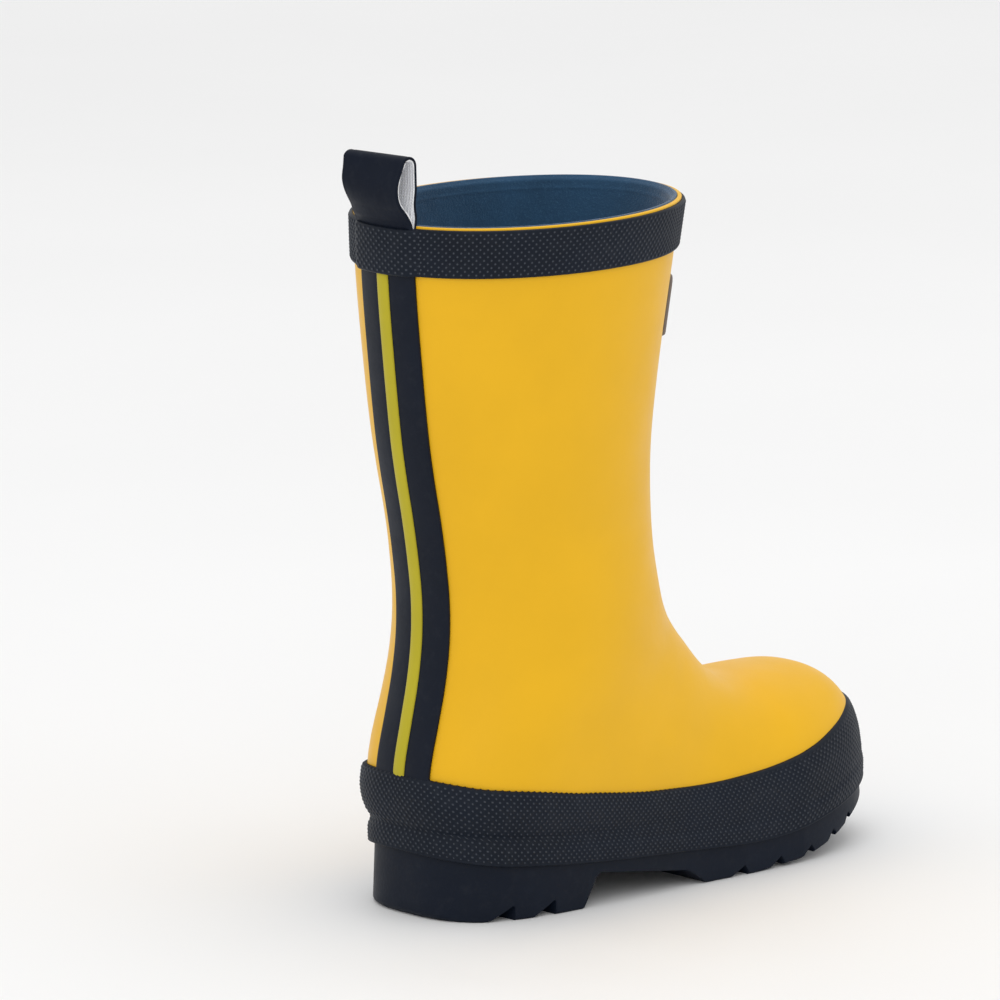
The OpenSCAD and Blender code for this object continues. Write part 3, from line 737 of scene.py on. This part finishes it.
def loop_path():
    """The strap's outer face seen from the side: up the front leg, over, and down the back leg."""
    points, normals = [], []

    def add(x, z, angle):
        points.append((x, z))
        normals.append((math.cos(angle), math.sin(angle)))

    leg = np.linspace(-9.0, -1.2, 14)
    for z in leg:
        add(mix(0.95, STRAP_T, float(ramp(-2.8, -1.2, z))), z, 0.0)
    for before, circle, after in ((LOOP_FOOT, LOOP_FRONT, LOOP_HEAD), (LOOP_FRONT, LOOP_HEAD, LOOP_BACK),
                                  (LOOP_HEAD, LOOP_BACK, LOOP_FOOT)):
        start, end = tangent(before, circle), tangent(circle, after)
        while end < start:
            end += 2 * math.pi
        for angle in np.linspace(start, end, 24):
            add(circle[0] + circle[2] * math.cos(angle), circle[1] + circle[2] * math.sin(angle), angle)
    for z in leg[::-1]:
        add(-mix(0.95, STRAP_T, float(ramp(-2.8, -1.2, z))), z, math.pi)
    points, normals = np.array(points), np.array(normals)
    run = np.concatenate([[0], np.cumsum(np.hypot(*np.diff(points, axis=0).T))])
    at = np.linspace(0, run[-1], 150)
    points = np.stack([np.interp(at, run, points[:, i]) for i in (0, 1)], 1)
    normals = np.stack([np.interp(at, run, normals[:, i]) for i in (0, 1)], 1)
    normals /= np.linalg.norm(normals, axis=1, keepdims=True)
    return points, normals, at


def hinge_point():
    (_, _), (bx, _) = end_points(np.array([0.0]))
    return float(bx[0]) - GAP - TAB_T / 2, RIM_Z + STRAP_T + 0.5


def back_bow(y):
    """How far the rim lies forward of its rearmost point at a distance y to the side."""
    return on_surface(0.0, back_turn(0.0, y))[..., 0] - on_surface(0.0, 180.0)[..., 0]


def strap_piece(name, outer, inner, y_face, y_back, **about):
    """Strip along the loop's path between two insets, with its own stations across the strap.

    Its legs follow the curved rim, and its back leg hangs slacker on the boot's inner side.
    """
    points, normals, run = loop_path()
    hx, hz = hinge_point()
    height = points[:, 1:]
    squeeze = 1 - 0.32 * ramp(-1.2, -2.8, height)
    follow = ramp(11.0, -0.5, height)
    spread = 1 + 0.07 * ramp(5.0, 0.0, height)
    slack = ramp(0.2, -0.7, normals[:, :1]) * np.sin(math.pi * np.clip(height / 17, 0, 1))

    def grid(inset, y):
        x = hx + points[:, :1] - inset * squeeze * normals[:, :1]
        z = hz + points[:, 1:] - inset * squeeze * normals[:, 1:]
        y = spread * np.broadcast_to(y, np.broadcast_shapes(x.shape, np.shape(y)))
        twist = 0.45 - 1.55 * 2 * y / STRAP_W
        x = x + mix(twist, back_bow(y), follow) + slack * (1 + 2 * y / STRAP_W)
        return np.stack([x, y, np.broadcast_to(z, y.shape)], -1)

    face, back = grid(outer, y_face), grid(inner, y_back)
    obj = new_piece(name, *swept_mesh(wrapped(face, back)), body=None, **about)
    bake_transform(obj)


def pull_loop():
    half = STRAP_W / 2
    y = edge_spaced(-half, half, 30, 0.4)
    inset = rounded(half - np.abs(y), 0.4) + 0.10 * np.exp(-((half - 1.3 - np.abs(y)) / 0.35) ** 2)
    strap_piece("loop_strap", inset[None, :], FACE_T, y[None, :], np.linspace(-half, half, 6)[None, :],
                material="loop", replaced=("pull_loop",), slot="smooth_rubber")


def pull_loop_backing():
    """Woven webbing inside the loop: ribs along it and slightly frayed edges."""
    half = STRAP_W / 2 - 0.25
    points, _, run = loop_path()
    rng = np.random.default_rng(4)
    ragged = np.convolve(rng.normal(0, 1, len(run) + 4), np.ones(5) / 5, "valid")[:, None]
    y = np.linspace(-half, half, 160)[None, :]
    fray = y + np.sign(y) * 0.22 * ragged * (np.abs(y) / half) ** 12
    ribs = 0.07 * np.cos(2 * math.pi * y / 0.95) + 0.025 * np.cos(2 * math.pi * run[:, None] / 0.8)
    few = np.linspace(-half, half, 6)[None, :]
    strap_piece("loop_webbing", FACE_T - 0.05, STRAP_T - 0.12 - ribs, few, fray,
                material="webbing", replaced=("pull_loop_backing",), slot="webbing")


# ---------------------------------------------------------------- band round the foot


def ring_through(x, z):
    low = 1 + np.degrees(np.arctan2(ANKLE_Z - z, ANKLE_X - x)) / 90
    return np.where(x >= ANKLE_X, 2 + np.degrees(np.arcsin(toe_share(x))) / 90, low)


def along_ring(v, x, z):
    (fx, fz), (gx, gz) = end_points(v)
    return ((x - fx) * (gx - fx) + (z - fz) * (gz - fz)) / ((gx - fx) ** 2 + (gz - fz) ** 2)


def width_at(x, z):
    """Half width of the boot at a point of its side view."""
    v = ring_through(x, z)
    h = along_ring(v, x, z)
    wide = curve(WIDEST_AT, v)
    q = np.clip(np.where(h < wide, (wide - h) / wide, (h - wide) / (1 - wide)), 0, 1)
    p = np.where(h < wide, curve(SQUARE_ABOVE, v), curve(SQUARE_BELOW, v))
    return half_width(v) * (1 - q ** p) ** (1 / p)


def rand_z(x, t):
    return mix(curve(RAND_LOW_LINE, x), curve(RAND_TOP_LINE, x), t)


def follow_z(x, t):
    return np.maximum(rand_z(x, t), curve(WIDEST_LINE, x))


def row_ends(t):
    """Where each row of the band meets the back of the heel and the front of the toe."""
    a, b = np.full_like(t, -8.0), np.full_like(t, 30.0)
    c, d = np.full_like(t, 150.0), np.full_like(t, TOE_X)
    for _ in range(26):
        x = (a + b) / 2
        z = follow_z(x, t)
        inside = along_ring(ring_through(x, z), x, z) < 1
        a, b = np.where(inside, a, x), np.where(inside, x, b)
        x = (c + d) / 2
        z = follow_z(x, t)
        inside = (z < foot_top(x)) & (z > foot_under(x))
        c, d = np.where(inside, x, c), np.where(inside, d, x)
    return (a + b) / 2, (c + d) / 2


def band_rows(t, share):
    """Points of rows t of the band. share runs from 0 to 2 round the foot, from the heel's middle."""
    t = np.asarray(t, float)[:, None]
    lo, hi = row_ends(t)
    x = mix(lo, hi, (1 - np.cos(share[None, :] * math.pi)) / 2)
    side = np.where(share < 1, -1.0, 1.0)[None, :]
    return np.stack([x, side * width_at(x, follow_z(x, t)) + swing(x), rand_z(x, t)], -1)


def even_shares(step):
    """Shares at even steps of length along the band's middle row, and the length run at each."""
    u = np.linspace(-1, 1, 4001)
    half = 0.5 + 0.5 * np.sign(u) * (1 - (1 - np.abs(u)) ** 2.6)
    share = np.concatenate([half[:-1], 1 + half[:-1]])
    path = band_rows([0.5], share)[0]
    path = np.concatenate([path, path[:1]])
    run = np.concatenate([[0], np.cumsum(np.linalg.norm(np.diff(path, axis=0), axis=1))])
    at = np.linspace(0, run[-1], int(round(run[-1] / step)) + 1)[:-1]
    return np.interp(at, run, np.append(share, 2.0)), at, run[-1]


def sideways(rows):
    """Outward level normals of rows of points."""
    step = np.roll(rows, -2, 1) - np.roll(rows, 2, 1)
    side = np.stack([step[..., 1], -step[..., 0], 0 * step[..., 0]], -1)
    return side / np.maximum(np.linalg.norm(side, axis=-1, keepdims=True), 1e-9)


def rand():
    """Textured band: rounded top edge, a waist, a bead below it and a thin smooth lip."""
    share, run, total = even_shares(0.4)
    pitch = total / round(total / BAND_PITCH)
    t = np.concatenate([1 - np.array([0, 0.003, 0.008, 0.016, 0.027]), np.linspace(0.96, 0.075, 58),
                        [0.06, 0.045, 0.033, 0.026, 0.018, 0.010, 0.004, 0.0]])
    rows = band_rows(t, share)
    x = rows[..., 0]
    tt = t[:, None]
    height = curve(RAND_TOP_LINE, x) - curve(RAND_LOW_LINE, x)
    edge = (1 - tt) * height
    heel, toe = ramp(30, 5, x), ramp(135, 170, x)
    full = mix(mix(0.5, 0.75, heel), 1, ramp(1, 0.7, tt))
    full = mix(full, mix(0.3, 0.85, ramp(1, 0.15, tt)), toe)
    base = SKIN_GAP + RAND_T * full + 0.7 * STRIP_T * ramp(0.5, 0.3, tt)
    waist = 0.16 * np.exp(-((tt - 0.33) / 0.06) ** 2)
    bulge = np.sqrt(np.maximum(1 - ((0.11 - np.minimum(tt, 0.11)) / 0.125) ** 2, 0))
    bead = mix(0.9, 0.5, toe) * BEAD_T * ramp(0.30, 0.20, tt) * bulge
    lip = 0.35 * ramp(0.035, 0.02, tt) - 0.5 * ramp(0.012, 0.0, tt)
    smooth_top = ramp(95, 125, x) * ramp(1.2, 0.7, edge)
    mask = (1 - smooth_top) * ramp(0.0, 0.5, edge) * ramp(0.030, 0.05, tt)
    relief = studs(run[None, :], edge.mean(1)[:, None], pitch) * mask
    depth = base - rounded(edge, 0.9) - waist + bead + lip + 0.34 * relief + 0.12 * smooth_top
    out = rows + depth[..., None] * sideways(rows)
    scallop = studs(run[None, :], 0 * tt, pitch) * ramp(100, 60, x) * ramp(1.2, 0.0, edge)
    out[..., 2] += 0.35 * scallop
    relief_all = np.concatenate([relief, np.zeros((5, relief.shape[1]))])
    inner = band_rows([0.0, 0.15, 0.4, 0.7, 1.0], share)
    inside = inner + np.array([1.2, 0.6, 0.0, -0.1, -0.15])[:, None, None] * sideways(inner)
    points, faces = band_mesh(np.concatenate([out, inside]))
    new_piece("rand_band", points, faces, material="textured",
              replaced=("rand", "rand_edge_strip"), slot="textured_rubber", relief=relief_all)


# ---------------------------------------------------------------- outsole

TREAD_LINE = [(80, 0), (115, 0), (127, 0.8), (134, 1.4), (140, 2.5), (150, 5.4), (160, 9.3),
              (172, 13), (184, 16)]
HEEL_FRONT, BREAST_TOP, ARCH_END, FIRST_LUG = 47.3, (53.5, 10.0), (89.5, 5.1), 96.5
LUG_PITCH, LUG_COUNT, LUG_RISE, LUG_NOTCH_H = 17.3, 6, 1.6, 3.0
HEEL_NOTCHES, HEEL_NOTCH_H, HEEL_RAMP = (23.4, 37.1), 4.6, 8.0


def tread(x):
    return np.maximum(0, curve(TREAD_LINE, x))


def lug_start(k):
    return FIRST_LUG + LUG_PITCH * (k - 0.054 * k * k)


def lug_end(k):
    return mix(lug_start(k), lug_start(k + 1), 0.54)


def notch_height(k):
    return LUG_NOTCH_H * (1 - 0.09 * k)


def raw_mesh(name, points, faces):
    mesh = bpy.data.meshes.new(name)
    mesh.from_pydata(((np.asarray(points, float) - (MIDDLE_X, 0, 0)) * MM).tolist(), [], faces)
    obj = bpy.data.objects.new(name, mesh)
    bpy.context.scene.collection.objects.link(obj)
    bm = bmesh.new()
    bm.from_mesh(mesh)
    bmesh.ops.recalc_face_normals(bm, faces=bm.faces)
    bm.to_mesh(mesh)
    bm.free()
    return obj


def sole_body():
    """The outsole before its notches: walls that flare a little, with a rounded lower edge."""
    share, _, _ = even_shares(1.1)
    base = band_rows([0.0], share)[0]
    side = sideways(base[None])[0]
    x = base[:, 0]
    high = curve(RAND_LOW_LINE, x) + 1.2
    low = tread(x)
    r = mix(3.0, 0.8, ramp(2, 16, x))
    rings = []
    for s in np.linspace(0, 1, 7):
        flare = mix(0.9, 1.5, s)
        rings.append((flare + 0 * x, mix(high, low + r, s)))
    for a in np.radians([15, 30, 45, 60, 75, 90]):
        rings.append((1.5 - r * (1 - math.cos(a)), low + r * (1 - math.sin(a))))
    points = []
    for out, z in rings:
        ring = base + out[:, None] * side
        ring[:, 2] = z
        points.append(ring)
    points = np.array(points)
    n, m = points.shape[:2]
    faces = grid_faces(n, m, closed=True)
    for first in (0, (n - 1) * m):
        for j in range(1, m // 2):
            quad = [first + j, first + j + 1, first + (m - j - 1) % m, first + (m - j) % m]
            faces.append(quad if len(set(quad)) == 4 else list(dict.fromkeys(quad)))
        faces.append([first, first + 1, first + m - 1])
    return raw_mesh("sole_body", points.reshape(-1, 3), faces)


def notch_cutter():
    """Prisms across the sole: the arch behind the ball, the heel's notches and the gaps between lugs."""
    cuts = [[(HEEL_FRONT, -1), (HEEL_FRONT, 0), (BREAST_TOP[0] - 0.9, 8.8), (BREAST_TOP[0] + 0.8, 9.85),
             (ARCH_END[0] - 1.5, 5.12), (ARCH_END[0] + 0.3, 4.6), (FIRST_LUG, 0), (FIRST_LUG, -1)]]
    for x in HEEL_NOTCHES:
        cuts.append([(x - HEEL_RAMP, -1), (x - HEEL_RAMP, 0), (x - 0.5, HEEL_NOTCH_H - 0.2),
                     (x, HEEL_NOTCH_H - 0.5), (x, -1)])
    for k in range(LUG_COUNT - 1):
        a, b = lug_end(k), lug_start(k + 1)
        za, zb = float(tread(a)), float(tread(b))
        cuts.append([(a, za - 2.5), (a, za), (b - LUG_RISE, zb + notch_height(k)), (b - 0.4, zb + 1),
                     (b, zb - 2.5)])
    points, faces = [], []
    for cut in cuts:
        n, first = len(cut), len(points)
        points += [(x, y, z) for y in (-60, 60) for x, z in cut]
        faces += [list(range(first, first + n)), list(range(first + n, first + 2 * n))[::-1]]
        faces += [[first + i, first + n + i, first + n + (i + 1) % n, first + (i + 1) % n] for i in range(n)]
    return raw_mesh("notch_cutter", points, faces)


def outsole():
    body, cutter = sole_body(), notch_cutter()
    cut = body.modifiers.new("notches", "BOOLEAN")
    cut.object, cut.operation, cut.solver = cutter, "DIFFERENCE", "EXACT"
    soft = body.modifiers.new("edges", "BEVEL")
    soft.width, soft.segments, soft.limit_method = 0.35 * MM, 2, "ANGLE"
    soft.angle_limit = math.radians(38)
    soft.use_clamp_overlap = True
    graph = bpy.context.evaluated_depsgraph_get()
    mesh = bpy.data.meshes.new_from_object(body.evaluated_get(graph))
    sole = bpy.data.objects.new("sole", mesh)
    bpy.context.scene.collection.objects.link(sole)
    for scrap in (body, cutter):
        bpy.data.objects.remove(scrap)
    bm = bmesh.new()
    bm.from_mesh(mesh)
    for face in bm.faces:
        face.smooth = True
    for edge in bm.edges:
        edge.smooth = edge.calc_face_angle(0) < math.radians(32)
    bm.to_mesh(mesh)
    bm.free()
    mesh.materials.clear()
    mesh.materials.append(MATERIALS["sole"])
    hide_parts("outsole")
    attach(sole, "boot")


# ---------------------------------------------------------------- making it all

INNER_MATERIALS = {"heel_filler": "sponge", "insole_board": "board", "footbed_foam": "foam",
                   "footbed_cover": "lining", "toe_puff": "canvas", "heel_counter": "canvas"}


def dress_inner_nodes():
    """Materials for the CAD nodes inside the boot."""
    for name, kind in INNER_MATERIALS.items():
        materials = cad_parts[name].data.materials
        materials.clear()
        materials.append(MATERIALS[kind])


add_camera()
add_studio()
upper_shell()
lining_sock()
footbed()
top_binding()
loop_anchor_patch()
back_stay()
back_stay_piping()
front_badge()
pull_loop()
pull_loop_backing()
rand()
outsole()
dress_inner_nodes()
